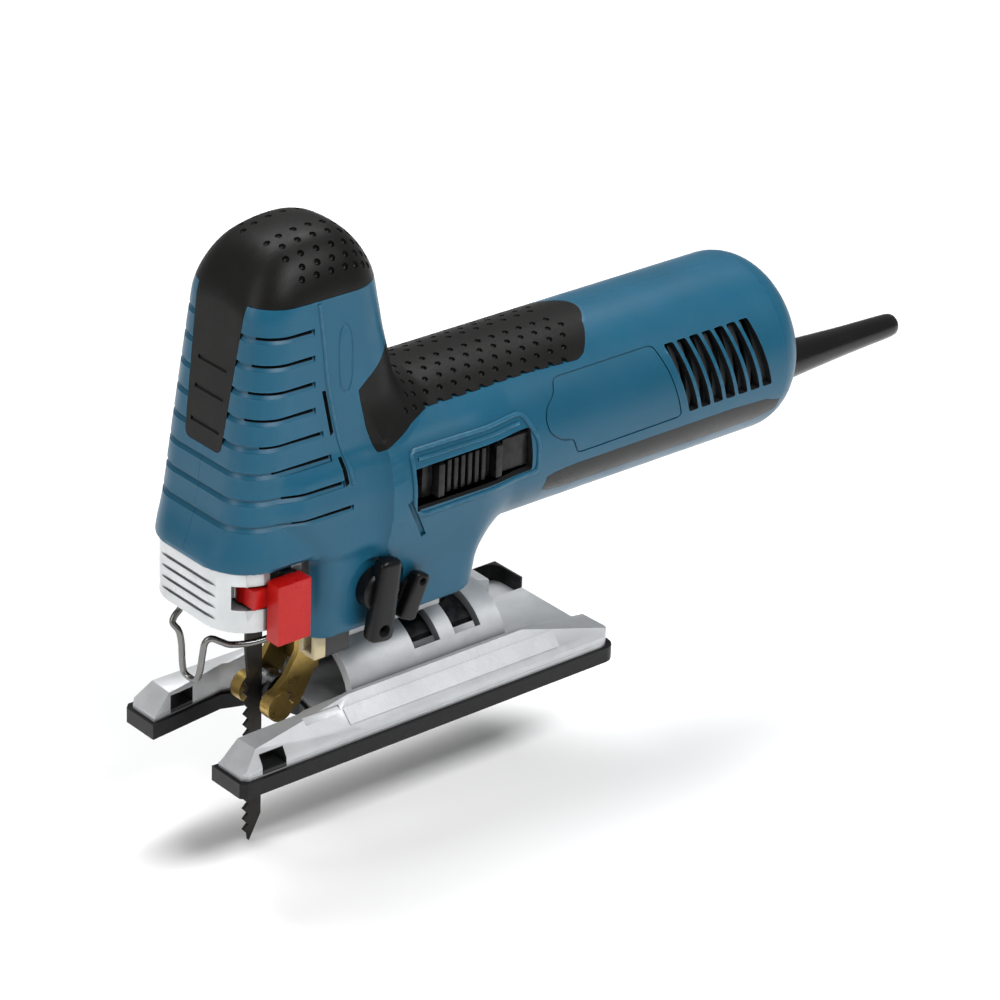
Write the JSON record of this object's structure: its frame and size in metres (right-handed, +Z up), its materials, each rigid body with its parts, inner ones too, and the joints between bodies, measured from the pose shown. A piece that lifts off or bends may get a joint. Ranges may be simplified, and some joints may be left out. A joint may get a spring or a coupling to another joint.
{
  "type": "barrel grip jigsaw",
  "caption": "Corded barrel-grip jigsaw with a tall gear tower, round motor grip, red blade release lever, guide fork and a forked tilting base in a sliding shoe.",
  "frame": {"origin": "centre of the sole, on its lower face", "axes": "+X from the blade end to the cord end, +Y to the right-hand side of the tool, +Z up from the work"},
  "size_m": [0.3185, 0.0686, 0.221],
  "materials": {
    "shell": "satin petrol blue",
    "soft": "dimpled soft grip",
    "black": "moulded black",
    "red": "glossy red",
    "cast": "fine cast",
    "case": "machined cast",
    "steel": "ground",
    "dark_steel": "blackened",
    "iron": "laminated",
    "gold": "yellow chromated",
    "brass": "plain",
    "copper": "enamelled copper",
    "carbon": "carbon",
    "board": "potted electronics",
    "grey": "glass filled"
  },
  "bodies": {
    "body": {"housing_left": "shell", "housing_right": "shell", "tower_cap": "soft", "saddle_grip": "soft", "side_strips": "black", "housing_screws": "dark_steel", "vent_screens": "black", "cord_sleeve": "black", "cord_clamp": "grey", "cord_clamp_screws": "steel", "stator_core": "iron", "field_coils": "copper", "front_bearing": "steel", "rear_bearing": "steel", "bearing_bridge": "grey", "brush_holders": "brass", "carbon_brushes": "carbon", "brush_springs": "steel", "gear_case": "case", "gear_axle": "steel", "rocker_pins": "steel", "fork_pin": "steel", "front_guard": "cast", "wire_guard": "dark_steel", "lever_hinge_pin": "steel", "switch_block": "black", "speed_module": "board", "blower_duct": "black", "bevel_clamp": "case", "clamp_screws": "steel"},
    "armature": {"armature_shaft": "steel", "armature_core": "iron", "commutator": "copper", "motor_pinion": "steel", "cooling_fan": "grey"},
    "gear": {"gear_wheel": "steel", "crank_pin": "steel"},
    "weight": {"counterweight": "iron"},
    "rocker": {"rocker_frame": "case", "plunger_bushes": "brass"},
    "plunger": {"plunger": "steel", "blade_clamp": "dark_steel", "saw_blade": "dark_steel"},
    "yoke_slider": {"crank_slider": "brass"},
    "fork": {"guide_fork": "gold", "roller_pin": "steel"},
    "roller": {"guide_roller": "dark_steel"},
    "release_lever": {"release_lever": "red"},
    "switch_slider": {"switch_slider": "black"},
    "orbit_lever": {"orbit_lever": "black"},
    "blower_lever": {"blower_lever": "black"},
    "speed_dial": {"speed_dial": "black"},
    "base": {"base_plate": "cast", "slide_shoe": "black"}
  },
  "joints": [
    {"name": "motor_spin", "type": "hinge", "parent": "body", "child": "armature", "pos_m": [0.03, 0, 0.0885], "axis": [1, 0, 0], "continuous": true},
    {"name": "gear_spin", "type": "hinge", "parent": "body", "child": "gear", "pos_m": [-0.0225, 0, 0.1101], "axis": [1, 0, 0], "continuous": true},
    {"name": "weight_slide", "type": "slide", "parent": "body", "child": "weight", "axis": [0, 0, 1], "range_m": [0, 0.008]},
    {"name": "rocker_swing", "type": "hinge", "parent": "body", "child": "rocker", "pos_m": [-0.0517, 0, 0.1571], "axis": [0, 1, 0], "range_deg": [0, 0.6]},
    {"name": "stroke", "type": "slide", "parent": "rocker", "child": "plunger", "axis": [0, 0, -1], "range_m": [0, 0.026]},
    {"name": "yoke_slide", "type": "slide", "parent": "plunger", "child": "yoke_slider", "axis": [0, 1, 0], "range_m": [-0.013, 0.013]},
    {"name": "fork_swing", "type": "hinge", "parent": "body", "child": "fork", "pos_m": [-0.033, 0, 0.042], "axis": [0, 1, 0], "range_deg": [0, 3.2]},
    {"name": "roller_spin", "type": "hinge", "parent": "fork", "child": "roller", "pos_m": [-0.04315, 0, 0.015], "axis": [0, 1, 0], "continuous": true},
    {"name": "release_turn", "type": "hinge", "parent": "body", "child": "release_lever", "pos_m": [-0.067, -0.017, 0.066], "axis": [0, 0, 1], "range_deg": [-30, 0], "stiffness_Nm_per_rad": 0.15, "springref_deg": 17.19},
    {"name": "switch_travel", "type": "slide", "parent": "body", "child": "switch_slider", "axis": [-1, 0, 0], "range_m": [0, 0.006]},
    {"name": "orbit_turn", "type": "hinge", "parent": "body", "child": "orbit_lever", "pos_m": [-0.0235, -0.028, 0.058], "axis": [0, 1, 0], "range_deg": [0, 51]},
    {"name": "blower_turn", "type": "hinge", "parent": "body", "child": "blower_lever", "pos_m": [-0.01, -0.028, 0.0532], "axis": [0, 1, 0], "range_deg": [-50, 0]},
    {"name": "dial_turn", "type": "hinge", "parent": "body", "child": "speed_dial", "pos_m": [0.1565, 0, 0.0985], "axis": [0, 1, 0], "range_deg": [0, 300]},
    {"name": "bevel", "type": "hinge", "parent": "body", "child": "base", "pos_m": [0, 0, 0.01], "axis": [1, 0, 0], "range_deg": [-45, 45]}
  ],
  "couplings": [
    {"joint": "gear_spin", "follows": "motor_spin", "ratio": -0.125},
    {"joint": "fork_swing", "follows": "rocker_swing", "ratio": 5.2}
  ]
}
